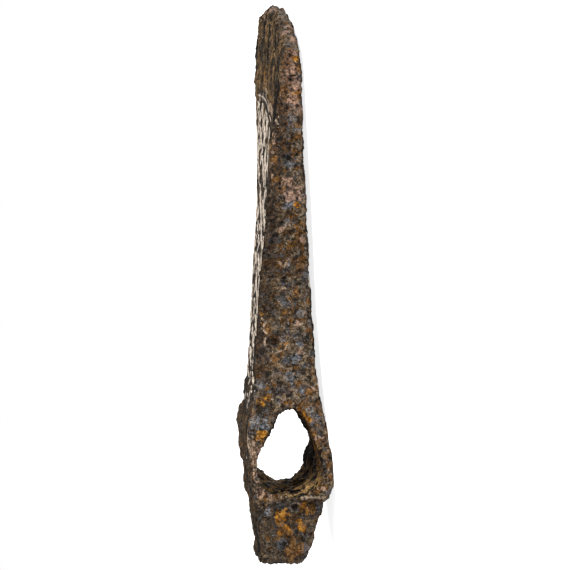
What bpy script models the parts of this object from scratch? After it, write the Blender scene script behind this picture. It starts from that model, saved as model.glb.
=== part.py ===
"""Iron axe head of the early Middle Ages: a slim bearded blade, an egg-shaped eye with lugs, and a square
hammer poll, forged in one piece.

It is modelled in metres, +Z up, lying at rest on one cheek: +X runs from the poll to the cutting edge, -Y
is the toe side, +Y the heel side (the beard), and the inlaid cheek faces up. The origin is the middle of
the bounding box's underside.
"""

import math

import bmesh
import bpy
import numpy as np
from mathutils import Vector, noise

MM = 0.001

# The eye, the hole for the haft. It is egg-shaped, with its slim end towards the blade.
EYE_LENGTH = 27.4 * MM
EYE_WIDTH = 20.5 * MM
EYE_SLIMMING = 0.42  # how far the egg departs from an ellipse
EYE_DROP = 1.1 * MM  # the eye sits this far off the head's middle plane, towards the resting cheek
EYE_LEAN = 0.8 * MM  # and its slim end leans this much further that way
UPPER_WALL = 2.4 * MM
LOWER_WALL = 2.9 * MM
SHOULDER_WALL = 5.7 * MM  # iron beside the eye's slim end, before the neck draws in
EYE_HEIGHT = 23.0 * MM  # of the body around the eye, between the lugs

# The four lugs, tongues of the eye's walls that grip the haft. For each: how far its flat end is from the
# head's axis, and how far its back and its front are ahead of the eye's middle. The toe side's upper one
# is worn down.
UPPER_TOE_LUG = (14.4 * MM, -12.0 * MM, 6.0 * MM)
LOWER_TOE_LUG = (17.6 * MM, -16.4 * MM, 3.2 * MM)
UPPER_HEEL_LUG = (19.5 * MM, -7.5 * MM, 13.0 * MM)
LOWER_HEEL_LUG = (17.2 * MM, -15.2 * MM, 4.0 * MM)
LUG_RAMP = 3.2 * MM

# The poll, a square hammer behind the eye
POLL_LENGTH = 22.2 * MM
POLL_END_THICKNESS = 15.4 * MM
POLL_END_HEIGHT = 19.6 * MM
POLL_ROOT_THICKNESS = 20.9 * MM
POLL_ROUNDING = 2.6 * MM

# The neck, the slim stretch between the eye and the blade
NECK_DISTANCE = 18.5 * MM  # from the front of the eye to the slimmest height
NECK_THICKNESS = 17.6 * MM
NECK_TOE = 9.8 * MM
NECK_HEEL = 8.8 * MM

# The blade
BLADE_REACH = 135.9 * MM  # from the middle of the eye to the cutting edge
BLADE_ROOT = 46.0 * MM  # from the middle of the eye to where the blade starts to flare
TOE_REACH = 29.6 * MM  # from the axis to the toe
HEEL_REACH = 47.0 * MM  # from the axis to the heel, the tip of the beard
EDGE_RADIUS = 112.0 * MM
EDGE_FOREMOST = 21.0 * MM  # the edge reaches furthest here, this far from the axis towards the heel
EDGE_THICKNESS = 2.2 * MM  # blunted by rust
TAPER_END_THICKNESS = 3.8 * MM  # where the blade's long taper would end, without the edge bevel
EDGE_BEVEL_SLOPE = 0.55
HORN_ROUNDING = 4.0 * MM
CHEEK_CROWN = 0.06  # the blade is this share thinner at toe and heel than in its middle
TOE_SWELL = 0.42  # but its upper cheek stands this share higher again at the toe
STATION_BOW_START = 60.0 * MM  # sections are flat up to here, and bow like the edge at the edge

# Finish of the forging
ARRIS_RADIUS = 1.3 * MM
HAMMER_DEPTH = 0.35 * MM
HAMMER_SPACING = 13.0 * MM
EDGE_CHIPS = ((-24 * MM, 1.2 * MM), (-6 * MM, 0.6 * MM), (16 * MM, 0.9 * MM), (38 * MM, 1.3 * MM))
CHIP_WIDTH = 4.5 * MM  # each chip above is its place along the edge and its depth

# Facets
STATION_STEP = 4.2 * MM
EYE_STEPS = 48
ARC_STEPS = 2
CHEEK_STEPS = 14
NARROW_STEPS = 3
SHARP_ANGLE = math.radians(35)

EYE_BACK = -EYE_LENGTH / 2
EYE_FRONT = EYE_LENGTH / 2
POLL_END = EYE_BACK - POLL_LENGTH
NECK = EYE_FRONT + NECK_DISTANCE
LUGS = (UPPER_TOE_LUG, LOWER_TOE_LUG, UPPER_HEEL_LUG, LOWER_HEEL_LUG)


def clear_scene():
    for old in list(bpy.data.objects):
        bpy.data.objects.remove(old, do_unlink=True)


def smoothstep(share):
    share = min(max(share, 0.0), 1.0)
    return share * share * (3 - 2 * share)


def smooth_line(points):
    """A function of x that runs smoothly through (x, value) points and holds its end values beyond them."""
    xs, values = (np.array(column) for column in zip(*points))
    slopes = np.gradient(values, xs)

    def value_at(x):
        x = min(max(x, xs[0]), xs[-1])
        i = min(int(np.searchsorted(xs, x, side="right")), len(xs) - 1) - 1
        span = xs[i + 1] - xs[i]
        s = (x - xs[i]) / span
        return (
            (1 + 2 * s) * (1 - s) ** 2 * values[i]
            + s * s * (3 - 2 * s) * values[i + 1]
            + s * (1 - s) * ((1 - s) * slopes[i] - s * slopes[i + 1]) * span
        )

    return value_at


def egg_half_width(x):
    """Half the eye's width at x."""
    u = min(max(2 * x / EYE_LENGTH, -1.0), 1.0)
    return EGG_SCALE * math.sqrt(1 - u * u) * (1 - EYE_SLIMMING * u)


def widest_of_egg():
    """(place, height) of the widest point of the egg's formula, with its scale at 1."""
    k = EYE_SLIMMING
    u = (1 - math.sqrt(1 + 8 * k * k)) / (4 * k)
    return u, math.sqrt(1 - u * u) * (1 - k * u)


EGG_WIDEST, EGG_TALLEST = widest_of_egg()
EGG_SCALE = EYE_WIDTH / 2 / EGG_TALLEST
EYE_WIDEST = EGG_WIDEST * EYE_LENGTH / 2


def thickness_line(wall, drop):
    """Half-thickness along the head, for the cheek whose eye wall is this thick."""
    shoulder = EYE_FRONT * 0.57
    taper = (NECK_THICKNESS - TAPER_END_THICKNESS) / 2 / (BLADE_REACH - NECK)
    return smooth_line(
        [
            (POLL_END, POLL_END_THICKNESS / 2 + drop * 0.4),
            (POLL_END + POLL_LENGTH * 0.5, (POLL_END_THICKNESS + POLL_ROOT_THICKNESS) / 4 + drop * 0.9),
            (EYE_BACK - POLL_LENGTH * 0.07, POLL_ROOT_THICKNESS / 2 + drop * 1.2),
            (EYE_BACK + EYE_LENGTH * 0.12, drop + EYE_WIDTH * 0.48 + wall),
            (EYE_WIDEST, drop + EYE_WIDTH / 2 + wall),
            (shoulder, drop + egg_half_width(shoulder) + SHOULDER_WALL),
            (EYE_FRONT + NECK_DISTANCE * 0.25, NECK_THICKNESS / 2 + EYE_WIDTH * 0.055 + drop * 0.3),
            (NECK, NECK_THICKNESS / 2 + drop * 0.3),
            (NECK + (BLADE_REACH - NECK) / 2, NECK_THICKNESS / 2 - taper * (BLADE_REACH - NECK) / 2),
            (BLADE_REACH, TAPER_END_THICKNESS / 2),
        ]
    )


def flare(start, stop, *shares):
    """Outline points of the blade's flare: evenly spaced, each rising by its share from start to stop."""
    steps = len(shares) + 1
    run = BLADE_REACH - BLADE_ROOT
    return [
        (BLADE_ROOT + run * (i + 1) / steps, start + (stop - start) * share)
        for i, share in enumerate(shares)
    ]


UPPER_HALF = thickness_line(UPPER_WALL, -EYE_DROP)
LOWER_HALF = thickness_line(LOWER_WALL, EYE_DROP)
BACK_LINE = [
    (POLL_END, POLL_END_HEIGHT / 2),
    (EYE_BACK, EYE_HEIGHT / 2),
    (EYE_FRONT, EYE_HEIGHT / 2),
]
TOE_LINE = smooth_line(
    BACK_LINE
    + [(NECK, NECK_TOE), (BLADE_ROOT, NECK_TOE * 1.06)]
    + flare(NECK_TOE, TOE_REACH, 0.24, 0.45, 0.60, 0.75, 0.91)
    + [(BLADE_REACH, TOE_REACH)]
)
HEEL_LINE = smooth_line(
    BACK_LINE
    + [(NECK, NECK_HEEL), (BLADE_ROOT, NECK_HEEL * 1.06)]
    + flare(NECK_HEEL, HEEL_REACH, 0.07, 0.18, 0.39, 0.73, 0.97)
    + [(BLADE_REACH, HEEL_REACH)]
)


def on_lug(x, lug):
    """1 along a lug's flat end, 0 clear of it, and a rounded ramp between."""
    _, back, front = lug
    return smoothstep((x - back) / LUG_RAMP) * smoothstep((front - x) / LUG_RAMP)


def with_lug(x, y, lug):
    """The outline's y at x, drawn out along a lug to its flat end."""
    return y + (math.copysign(lug[0], y) - y) * on_lug(x, lug)


def edge_sagitta(y):
    return EDGE_RADIUS - math.sqrt(EDGE_RADIUS**2 - (y - EDGE_FOREMOST) ** 2)


def poll_inset(station):
    """How far the poll's end is drawn in to round its rim."""
    short = POLL_ROUNDING - (station - POLL_END)
    return POLL_ROUNDING - math.sqrt(POLL_ROUNDING**2 - short**2) if short > 0 else 0.0


def bow_of(station):
    return smoothstep((station - STATION_BOW_START) / (BLADE_REACH - STATION_BOW_START))


OUTLINE_ROUNDS = 6  # enough for a point on the outline to settle on its bowed section


def outline_y(station, line, side):
    """Where the section at this station meets the toe (side -1) or heel (side 1) outline."""
    y = side * line(station)
    for _ in range(OUTLINE_ROUNDS):
        y = side * line(station - bow_of(station) * edge_sagitta(y))
    to_edge = BLADE_REACH - station
    if to_edge < HORN_ROUNDING:
        y -= side * (HORN_ROUNDING - math.sqrt(HORN_ROUNDING**2 - (HORN_ROUNDING - to_edge) ** 2))
    return y


def hammered(x, y, seed):
    """The unevenness that the hammer left, for a face told apart by its seed."""
    return HAMMER_DEPTH * noise.noise(Vector((x, y, 0)) / HAMMER_SPACING + Vector((0, 0, seed)))


def chipped(station, y):
    """How far rust has eaten the cutting edge back at y, fading out over the stations behind the edge."""
    nearness = max(0.0, 1 - (BLADE_REACH - station) / HORN_ROUNDING)
    return nearness * sum(depth * math.exp(-(((y - place) / CHIP_WIDTH) ** 2)) for place, depth in EDGE_CHIPS)


def section(station):
    """The closed ring of points around the head at one station, round its upper and lower cheeks."""
    to_edge = BLADE_REACH - station
    along_blade = smoothstep((station - NECK) / (BLADE_REACH - NECK))
    crown = CHEEK_CROWN * along_blade
    thinnest = EDGE_THICKNESS / 2 + EDGE_BEVEL_SLOPE * to_edge
    upper = min(UPPER_HALF(station) / (1 - crown), thinnest)
    lower = min(LOWER_HALF(station) / (1 - crown), thinnest)
    toe = outline_y(station, TOE_LINE, -1)
    heel = outline_y(station, HEEL_LINE, 1)
    inset = poll_inset(station)
    beside_lugs = station < POLL_END + POLL_ROUNDING or any(on_lug(station, lug) > 0 for lug in LUGS)
    upper, lower = upper - inset, lower - inset
    radius = min(ARRIS_RADIUS, upper * 0.8, lower * 0.8)
    corners = (
        (with_lug(station, heel, UPPER_HEEL_LUG) - inset, upper, 0),
        (with_lug(station, heel, LOWER_HEEL_LUG) - inset, -lower, 1),
        (with_lug(station, toe, LOWER_TOE_LUG) + inset, -lower, 2),
        (with_lug(station, toe, UPPER_TOE_LUG) + inset, upper, 3),
    )
    ring = []
    for number, (y, z, quarter) in enumerate(corners):
        inward_y, inward_z = -math.copysign(radius, y), -math.copysign(radius, z)
        for step in range(ARC_STEPS + 1):
            angle = math.pi / 2 * (1 - quarter - step / ARC_STEPS)
            ring.append((y + inward_y + radius * math.cos(angle), z + inward_z + radius * math.sin(angle)))
        next_y, next_z, _ = corners[(number + 1) % 4]
        ring += between(ring[-1], (next_y, next_z), radius, number % 2 == 1)
    swell = TOE_SWELL * along_blade
    points = []
    for y, z in ring:
        share = 2 * (y - toe) / (heel - toe) - 1
        z *= 1 - crown * share * share
        if z > 0:
            z *= 1 + swell * max(0.0, -share)
        if abs(z) > radius * 0.5 and to_edge > 0 and station > POLL_END:
            z += math.copysign(hammered(station, y, 3 if z > 0 else 7), z) * min(1.0, to_edge / HORN_ROUNDING)
        if abs(share) > 0.9 and not beside_lugs:
            y += math.copysign(hammered(station, z, 11 if y > 0 else 17), y)
        x = station - bow_of(station) * edge_sagitta(y) - chipped(station, y)
        points.append(Vector((x, y, z)))
    return points


def between(last, corner, radius, along_cheek):
    """Points on the straight stretch from the end of one arris to the start of the next.
    A narrow side steps from one wall's height to the other's over the eye, so that each rim is flat."""
    y0, z0 = last
    y1, z1 = corner
    steps = CHEEK_STEPS if along_cheek else NARROW_STEPS
    if along_cheek:
        y1 -= math.copysign(radius, y1)
        return [(y0 + (y1 - y0) * i / steps, z0) for i in range(1, steps)]
    z1 -= math.copysign(radius, z1)
    return [(y0 if i <= steps // 2 else y1, z0 + (z1 - z0) * i / steps) for i in range(1, steps)]


def evenly(start, stop, step):
    """Stations from start up to, but not at, stop."""
    count = max(1, round((stop - start) / step))
    return [start + (stop - start) * i / count for i in range(count)]


def stations():
    """Where sections are taken, closer together at the lugs and the edge bevel."""
    lugs_back = min(back for _, back, _ in LUGS)
    lugs_front = max(front for _, _, front in LUGS)
    bevel = BLADE_REACH - HORN_ROUNDING
    return (
        evenly(POLL_END, POLL_END + POLL_ROUNDING, POLL_ROUNDING / 3)
        + evenly(POLL_END + POLL_ROUNDING, lugs_back, STATION_STEP)
        + evenly(lugs_back, lugs_front, LUG_RAMP / 3)
        + evenly(lugs_front, bevel, STATION_STEP)
        + evenly(bevel, BLADE_REACH, HORN_ROUNDING / 4)
        + [BLADE_REACH]
    )


def close_edge(bm, ring):
    """Close the cutting edge with faces that run across it, from heel to toe."""
    below = ARC_STEPS + 1 + NARROW_STEPS // 2  # the first point under the middle plane
    across = [(ring[below - 1 - i], ring[below + i]) for i in range(len(ring) // 2)]
    for (top, bottom), (next_top, next_bottom) in zip(across, across[1:]):
        bm.faces.new((top, bottom, next_bottom, next_top))


def forge_head(collection):
    """The forged body: a loft through its sections, from the poll's face to the cutting edge."""
    bm = bmesh.new()
    rings = [[bm.verts.new(point) for point in section(station)] for station in stations()]
    for ring, ahead in zip(rings, rings[1:]):
        for i in range(len(ring)):
            j = (i + 1) % len(ring)
            bm.faces.new((ring[i], ring[j], ahead[j], ahead[i]))
    bm.faces.new(rings[0])
    close_edge(bm, rings[-1])
    bmesh.ops.recalc_face_normals(bm, faces=bm.faces)
    mesh = bpy.data.meshes.new("axe_head")
    bm.to_mesh(mesh)
    bm.free()
    mesh.shade_smooth()
    mesh.set_sharp_from_angle(angle=SHARP_ANGLE)
    head = bpy.data.objects.new("axe_head", mesh)
    collection.objects.link(head)
    return head


def eye_drift(collection):
    """The smith's drift, the straight tool that opens the eye, long enough to pass every lug."""
    outline = bpy.data.curves.new("eye_outline", "CURVE")
    outline.dimensions = "2D"
    outline.fill_mode = "BOTH"
    outline.extrude = 2 * max(reach for reach, _, _ in LUGS)
    spline = outline.splines.new("POLY")
    spline.points.add(EYE_STEPS - 1)
    for i, point in enumerate(spline.points):
        turn = 2 * math.pi * i / EYE_STEPS
        x = EYE_LENGTH / 2 * math.cos(turn)
        lean = EYE_LEAN * smoothstep(x / EYE_FRONT)
        point.co = (x, math.copysign(egg_half_width(x), math.sin(turn)) - lean, 0, 1)
    spline.use_cyclic_u = True
    flat = bpy.data.objects.new("eye_outline", outline)
    collection.objects.link(flat)
    flat.rotation_euler.x = math.pi / 2
    flat.location.z = -EYE_DROP
    bpy.context.view_layer.update()
    graph = bpy.context.evaluated_depsgraph_get()
    mesh = bpy.data.meshes.new_from_object(flat.evaluated_get(graph))
    bm = bmesh.new()
    bm.from_mesh(mesh)
    bmesh.ops.remove_doubles(bm, verts=bm.verts, dist=1e-6)
    bmesh.ops.recalc_face_normals(bm, faces=bm.faces)
    bm.to_mesh(mesh)
    bm.free()
    drift = bpy.data.objects.new("eye_drift", mesh)
    drift.matrix_world = flat.matrix_world.copy()
    bpy.data.objects.remove(flat)
    collection.objects.link(drift)
    drift.display_type = "WIRE"
    drift.hide_render = True
    return drift


def corroded_iron():
    iron = bpy.data.materials.new("corroded_iron")
    iron.use_nodes = True
    surface = iron.node_tree.nodes["Principled BSDF"]
    surface.inputs["Base Color"].default_value = (0.075, 0.052, 0.036, 1)
    surface.inputs["Metallic"].default_value = 0.25
    surface.inputs["Roughness"].default_value = 0.55
    return iron


def centre_of_mass(bm):
    """The centroid of a closed triangulated mesh."""
    volume, moment = 0.0, Vector()
    for face in bm.faces:
        a, b, c = (vertex.co for vertex in face.verts)
        part = a.dot(b.cross(c)) / 6
        volume += part
        moment += part * (a + b + c) / 4
    return moment / volume


def holds(face, point):
    """Whether the point lies over this triangle, seen along the triangle's normal."""
    corners = [vertex.co for vertex in face.verts]
    sides = zip(corners, corners[1:] + corners[:1])
    return all((b - a).cross(point - a).dot(face.normal) >= 0 for a, b in sides)


def lie_down(head):
    """Turn and move the head to where its own weight leaves it, on the cheek that faces down."""
    bpy.context.view_layer.update()
    graph = bpy.context.evaluated_depsgraph_get()
    bm = bmesh.new()
    bm.from_mesh(head.evaluated_get(graph).data)
    bmesh.ops.triangulate(bm, faces=bm.faces)
    middle = centre_of_mass(bm)
    everywhere = [vertex.co.copy() for vertex in bm.verts]
    bm.free()
    hull = bmesh.new()
    for point in everywhere:
        hull.verts.new(point)
    bmesh.ops.convex_hull(hull, input=hull.verts)
    bmesh.ops.triangulate(hull, faces=hull.faces)
    hull.normal_update()
    resting = min((face for face in hull.faces if holds(face, middle)), key=lambda face: face.normal.z)
    turn = resting.normal.rotation_difference(Vector((0, 0, -1)))
    hull.free()
    turned = np.array([turn @ point for point in everywhere])
    low, high = turned.min(axis=0), turned.max(axis=0)
    head.rotation_mode = "QUATERNION"
    head.rotation_quaternion = turn
    head.location = (-(low[0] + high[0]) / 2, -(low[1] + high[1]) / 2, -low[2])


def main():
    clear_scene()
    parts = bpy.data.collections.new("axe_head")
    cutters = bpy.data.collections.new("cutters")
    for collection in (parts, cutters):
        bpy.context.scene.collection.children.link(collection)
    head = forge_head(parts)
    head.data.materials.append(corroded_iron())
    drift = eye_drift(cutters)
    drift.parent = head
    eye = head.modifiers.new("eye", "BOOLEAN")
    eye.operation = "DIFFERENCE"
    eye.solver = "EXACT"
    eye.object = drift
    lie_down(head)


main()
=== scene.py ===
# %% [markdown]
# # An iron axe head from the ground
#
# The object is the head of a slim battle axe, forged in iron about a thousand years ago. It has a long
# narrow blade, an egg-shaped eye for the haft and a square hammer behind it. Silver wire was once
# hammered into its cheeks in a plait. The ground has eaten the iron into pits, layers and blisters, and
# a lacquer from its conservation gives the rust small glints.
#
# The solid model already has the form. This script gives it its skin: fine relief as real mesh, the
# silver wires, and the colours of the rust. It starts by loading the frame, so that every piece can be
# placed in the same coordinates as the solid. All lengths are in metres, and MM turns millimetres to them.

# %% Load the frame
import math

import bmesh
import bpy
import numpy as np
from mathutils import Matrix, Vector, kdtree, noise
from mathutils.bvhtree import BVHTree


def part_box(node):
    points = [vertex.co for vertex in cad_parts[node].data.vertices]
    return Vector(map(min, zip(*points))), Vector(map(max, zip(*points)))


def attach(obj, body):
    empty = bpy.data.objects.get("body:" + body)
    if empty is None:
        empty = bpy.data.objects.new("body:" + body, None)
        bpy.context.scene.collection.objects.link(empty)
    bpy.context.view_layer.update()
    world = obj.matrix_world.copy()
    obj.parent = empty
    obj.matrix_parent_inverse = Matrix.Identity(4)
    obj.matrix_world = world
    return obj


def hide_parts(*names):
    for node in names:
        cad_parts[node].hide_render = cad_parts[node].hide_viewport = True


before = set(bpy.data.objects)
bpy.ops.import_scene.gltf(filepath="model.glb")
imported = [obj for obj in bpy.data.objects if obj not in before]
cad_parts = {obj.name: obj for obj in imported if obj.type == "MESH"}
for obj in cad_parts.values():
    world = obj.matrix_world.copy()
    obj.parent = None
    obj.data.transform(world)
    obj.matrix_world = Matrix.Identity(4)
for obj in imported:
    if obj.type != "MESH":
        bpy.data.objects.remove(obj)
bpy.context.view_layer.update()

MM = 0.001
noise.seed_set(5)  # without a seed, noise_vector() follows the clock and every run gives other pits
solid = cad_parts["axe_head"]
low, high = (Vector(corner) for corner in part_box("axe_head"))
length = high.x - low.x
print(f"The solid is {length / MM:.1f} mm long and has {len(solid.data.vertices)} vertices")

# %% [markdown]
# ## The camera
#
# The photograph looks along the haft's axis onto the narrow side, with the blade up. The head itself lies
# on one cheek, because it can't stand. So the camera looks at it from its narrow side, nearly level with
# the table, and is turned by a quarter so that the blade points up in the picture. A long lens from
# 0.8 m gives the flat perspective of a product photograph.

# %% Aim the camera
VIEW_AZIMUTH = math.radians(6.9)  # towards the blade
VIEW_ELEVATION = math.radians(6.4)
VIEW_ROLL = math.radians(5.6)
VIEW_DISTANCE = 0.8
VIEW_TARGET = Vector((-0.7 * MM, 0, 7.1 * MM))
VIEW_WIDTH = 178.8 * MM  # what the square frame takes in at the target's distance
PHOTO_SIZE = 570

back = Vector((
    math.sin(VIEW_AZIMUTH) * math.cos(VIEW_ELEVATION),
    -math.cos(VIEW_AZIMUTH) * math.cos(VIEW_ELEVATION),
    math.sin(VIEW_ELEVATION),
))
level = Vector((math.cos(VIEW_AZIMUTH), math.sin(VIEW_AZIMUTH), 0))
upright = back.cross(level)
picture_up = math.cos(VIEW_ROLL) * level - math.sin(VIEW_ROLL) * upright
picture_right = -math.sin(VIEW_ROLL) * level - math.cos(VIEW_ROLL) * upright

lens = bpy.data.cameras.new("view")
lens.sensor_width = 36
lens.lens = 36 * VIEW_DISTANCE / VIEW_WIDTH
camera = bpy.data.objects.new("view", lens)
place = Matrix((picture_right, picture_up, back)).transposed().to_4x4()
place.translation = VIEW_TARGET + back * VIEW_DISTANCE
camera.matrix_world = place
bpy.context.scene.collection.objects.link(camera)
bpy.context.scene.camera = camera
print(f"A lens of {lens.lens:.0f} mm from {VIEW_DISTANCE} m")

# %% [markdown]
# ## Floor and light
#
# A product photograph on white needs a floor that is bright to the horizon and light from large soft
# boxes. The key box stands on the camera's side, above the blade, so that the shadow falls behind the
# object and every pit has a lit side and a dark side. Two narrow strips give the lacquered rust its small
# bright glints. Paper under a studio lamp grows dim with distance, so this paper glows a little where the
# camera sees it, and the world behind it is white for the camera and dimmer as a light.

# %% Build the floor and the lights
FLOOR_SIZE = 12.0
PAPER_GLOW = 0.80
SKY_LIGHT = 0.26


def soft_box(name, place_m, size_m, watts, aim=(0, 0, 0.01)):
    """A rectangular light that faces a point."""
    lamp = bpy.data.lights.new(name, "AREA")
    lamp.shape = "RECTANGLE"
    lamp.size, lamp.size_y = size_m
    lamp.energy = watts
    holder = bpy.data.objects.new(name, lamp)
    holder.location = place_m
    holder.rotation_euler = (Vector(aim) - Vector(place_m)).to_track_quat("-Z", "Y").to_euler()
    bpy.context.scene.collection.objects.link(holder)
    return holder


def for_camera_only(tree, low_value, high_value):
    """A value that is high where the camera looks straight at a surface, and low for all other light."""
    sight = tree.nodes.new("ShaderNodeLightPath")
    level = tree.nodes.new("ShaderNodeMapRange")
    level.inputs["To Min"].default_value = low_value
    level.inputs["To Max"].default_value = high_value
    tree.links.new(sight.outputs["Is Camera Ray"], level.inputs["Value"])
    return level.outputs["Result"]


bpy.ops.mesh.primitive_plane_add(size=FLOOR_SIZE)
floor = bpy.context.object
floor.name = "floor"
paper = bpy.data.materials.new("white_paper")
paper.use_nodes = True
sheet = paper.node_tree.nodes["Principled BSDF"]
sheet.inputs["Base Color"].default_value = (0.8, 0.8, 0.8, 1)
sheet.inputs["Roughness"].default_value = 0.9
sheet.inputs["Emission Color"].default_value = (1, 1, 1, 1)
glow = for_camera_only(paper.node_tree, 0.0, PAPER_GLOW)
paper.node_tree.links.new(glow, sheet.inputs["Emission Strength"])
floor.data.materials.append(paper)

soft_box("key", (0.62, -0.62, 0.72), (0.3, 0.3), 17)
soft_box("fill", (-0.6, -0.95, 0.4), (0.5, 0.5), 3)
soft_box("strip_blade", (0.9, -0.25, 0.5), (0.12, 0.9), 2.5)
soft_box("strip_top", (-0.1, 0.35, 0.8), (0.9, 0.12), 2.5)

world = bpy.data.worlds.new("studio")
bpy.context.scene.world = world
world.use_nodes = True
sky = world.node_tree.nodes["Background"]
sky.inputs["Color"].default_value = (1, 1, 1, 1)
world.node_tree.links.new(for_camera_only(world.node_tree, SKY_LIGHT, 1.0), sky.inputs["Strength"])
bpy.context.scene.view_settings.view_transform = "Standard"
print("Floor, four soft boxes and a white world")

# %% [markdown]
# ## An even mesh to carve
#
# Rust is relief first and colour second. To carve it, the surface needs small faces of one size, and the
# solid has large ones. A voxel remesh makes such a skin from a copy of the solid. A short smoothing takes
# away the solid's facets. 0.48 mm is the finest size that keeps one piece under 200,000 triangles.

# %% Remesh a copy of the solid
SKIN_STEP = 0.48 * MM
SKIN_SOFTENING = 4


def even_skin(source, step, softening):
    """A copy of an object with faces of one size and its facets softened."""
    skin = bpy.data.objects.new("forged_iron", source.data.copy())
    bpy.context.scene.collection.objects.link(skin)
    remesh = skin.modifiers.new("even", "REMESH")
    remesh.mode = "VOXEL"
    remesh.voxel_size = step
    soften = skin.modifiers.new("soften", "SMOOTH")
    soften.factor = 0.5
    soften.iterations = softening
    graph = bpy.context.evaluated_depsgraph_get()
    mesh = bpy.data.meshes.new_from_object(skin.evaluated_get(graph))
    skin.modifiers.clear()
    skin.data = mesh
    mesh.name = "forged_iron"
    return skin


iron = even_skin(solid, SKIN_STEP, SKIN_SOFTENING)
count = len(iron.data.vertices)
places = np.empty(count * 3)
iron.data.vertices.foreach_get("co", places)
places = places.reshape(-1, 3)
normals = np.empty(count * 3)
iron.data.vertices.foreach_get("normal", normals)
normals = normals.reshape(-1, 3)
print(f"The skin has {count} vertices and about {2 * len(iron.data.polygons)} triangles")

# %% [markdown]
# ## Landmarks on the head
#
# The finish differs from place to place, so the script first finds out which place each vertex is in. It
# starts with the outlines of the two cheeks, measured on the skin itself, slice by slice.

# %% Measure the cheeks
SLICE = 1.5 * MM
EYE_CENTRE_X = low.x + 35.9 * MM  # the hammer poll and half the eye
EYE_CENTRE_Z = 13.1 * MM
EYE_AXIS_Y = -8.6 * MM
NECK_X = EYE_CENTRE_X + 32 * MM
POLL_X = EYE_CENTRE_X - 13 * MM  # behind this the head is the hammer poll


def cheek_outline(upward):
    """For each slice along the head: its place, and where the cheek that faces this way starts and ends."""
    facing = normals[:, 2] * upward > 0.75
    rows = []
    for place_x in slices:
        ys = places[facing & (np.abs(places[:, 0] - place_x) < SLICE / 2), 1]
        if len(ys):
            rows.append((place_x, ys.min(), ys.max()))
    rows = np.array(rows)
    for column in (1, 2):
        rows[1:-1, column] = np.convolve(rows[:, column], [0.25, 0.5, 0.25], "valid")
    return rows


def cheek_height(upward):
    """At each vertex, the height of the toe side's arris where it meets the cheek that faces this way."""
    found = []
    for place_x in slices:
        slab = (np.abs(x - place_x) < SLICE) & (normals[:, 1] < -0.7)
        zs = z[slab] if slab.any() else np.array([0.0])
        found.append(np.percentile(zs, 98 if upward > 0 else 2))
    return np.interp(x, slices, found)


slices = np.arange(low.x + SLICE, high.x - SLICE, SLICE)
x, y, z = places.T.copy()
upper_cheek = cheek_outline(1)
lower_cheek = cheek_outline(-1)
arris_z = cheek_height(1)
foot_z = cheek_height(-1)
print(f"The cheeks were measured in {len(slices)} slices")

# %% [markdown]
# ## Which place each vertex is in
#
# A normal says which way a vertex faces: the cheeks up or down, the narrow sides to the toe or the heel,
# and the eye's wall to the middle of the eye. Each place becomes a share from 0 to 1 with a smooth rim.

# %% Share the head out in places
EYE_REACH = Vector((19 * MM, 14 * MM))  # an oval around the eye that takes in all of its wall
EYE_FRONT_X = EYE_CENTRE_X + 14 * MM
GRAIN_START, GRAIN_FULL = 20 * MM, 45 * MM  # along the blade, where the cheek's light grain sets in
CRUST_START, CRUST_FULL = 48 * MM, 62 * MM  # and where the crust on its narrow side does


def blend(start, stop, value):
    """0 below start, 1 above stop, and a smooth ramp between."""
    share = np.clip((value - start) / (stop - start), 0, 1)
    return share * share * (3 - 2 * share)


from_eye_x = x - EYE_CENTRE_X
from_eye_z = z - EYE_CENTRE_Z
faces_inward = from_eye_x * normals[:, 0] + from_eye_z * normals[:, 2] < 0
in_eye = faces_inward & ((from_eye_x / EYE_REACH.x) ** 2 + (from_eye_z / EYE_REACH.y) ** 2 < 1)
eye_wall = (in_eye & (np.abs(normals[:, 1]) < 0.6)).astype(float)
bore_side = in_eye * (1 - blend(0.5, 0.95, np.abs(normals[:, 1])))
eye_floor = eye_wall * blend(0.1, 0.8, normals[:, 0])
cheek = blend(0.62, 0.88, np.abs(normals[:, 2])) * (1 - eye_wall)
narrow = blend(0.5, 0.8, np.abs(normals[:, 1]))
blade_cheek = cheek * blend(GRAIN_START, GRAIN_FULL, x)
blade_narrow = narrow * blend(CRUST_START, CRUST_FULL, x)
toe_side = narrow * (normals[:, 1] < 0) * blend(EYE_FRONT_X, NECK_X, x)
below_inlay = toe_side * blend(arris_z - 4.5 * MM, arris_z - 2 * MM, z)
# The pale rim along the lower edge of the toe side is a painted highlight.
low_rim_highlight = (normals[:, 1] < -0.25) * (1 - blend(foot_z + 0.5 * MM, foot_z + 1.6 * MM, z))
print(f"{int(eye_wall.sum())} vertices line the eye, {int(cheek.sum())} are on the cheeks")

# %% [markdown]
# ## From the photograph to the iron
#
# Pits and patches that stand out in the photograph are given by the pixel where they show. A ray from
# the camera through that pixel finds the spot on the iron.

# %% Find what a pixel shows
smooth_tree = BVHTree.FromObject(iron, bpy.context.evaluated_depsgraph_get())


def seen_at(pixel_x, pixel_y):
    """The spot on the iron that shows at this pixel of the photograph, or None."""
    across = (pixel_x / PHOTO_SIZE - 0.5) * VIEW_WIDTH
    up = (0.5 - pixel_y / PHOTO_SIZE) * VIEW_WIDTH
    ray = picture_right * across + picture_up * up - back * VIEW_DISTANCE
    return smooth_tree.ray_cast(camera.location, ray.normalized())[0]


middle = seen_at(PHOTO_SIZE / 2, PHOTO_SIZE / 2)
print(f"The photograph's middle shows the iron {middle.x / MM:.1f} mm along and {middle.z / MM:.1f} mm up")

# %% [markdown]
# ## The panel on the cheek
#
# The silver inlay fills a panel. It keeps a margin to the cheek's sides, is narrow at the neck, and ends
# in an arch that follows the cutting edge.

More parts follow.
